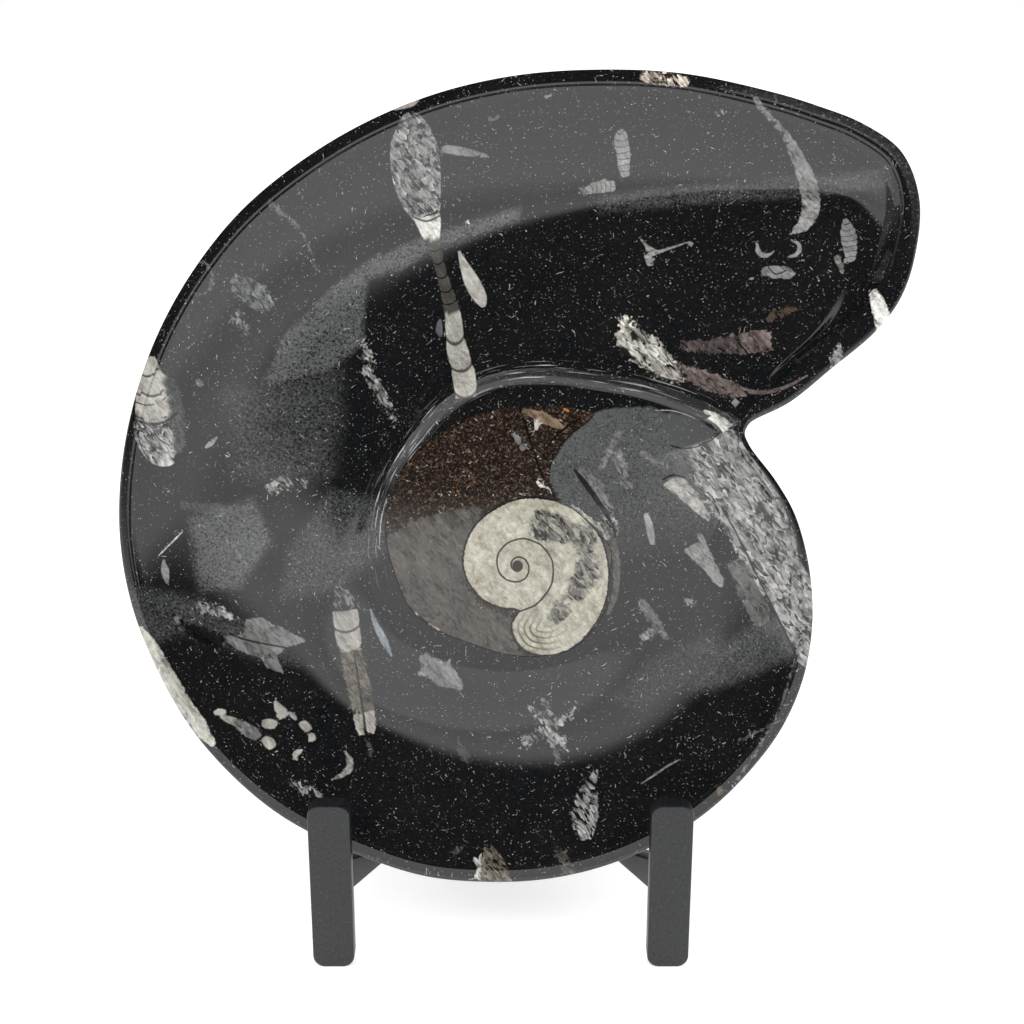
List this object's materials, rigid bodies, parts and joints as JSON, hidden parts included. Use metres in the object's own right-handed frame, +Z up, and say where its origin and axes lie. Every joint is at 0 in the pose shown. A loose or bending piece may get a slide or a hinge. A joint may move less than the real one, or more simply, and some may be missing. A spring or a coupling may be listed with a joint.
{
  "type": "ammonite-shaped fossil stone dish on an easel stand",
  "caption": "Polished black fossil limestone dish carved as an ammonite, with a goniatite inlay, leaning on a small dark easel stand.",
  "frame": {"origin": "on the table, under the middle of the object's box", "axes": "+Z up, -Y out of the dish's hollow front, +X to the right as seen from the front"},
  "size_m": [0.2142, 0.0864, 0.2284],
  "materials": {
    "fossil_limestone": "polished",
    "goniatite_matrix": "polished",
    "charcoal_coating": "satin"
  },
  "bodies": {
    "root": {"dish": "fossil_limestone", "goniatite_inlay": "goniatite_matrix", "stand_post_left": "charcoal_coating", "stand_post_right": "charcoal_coating", "stand_side_left": "charcoal_coating", "stand_side_right": "charcoal_coating", "stand_rear_foot": "charcoal_coating"}
  },
  "joints": []
}
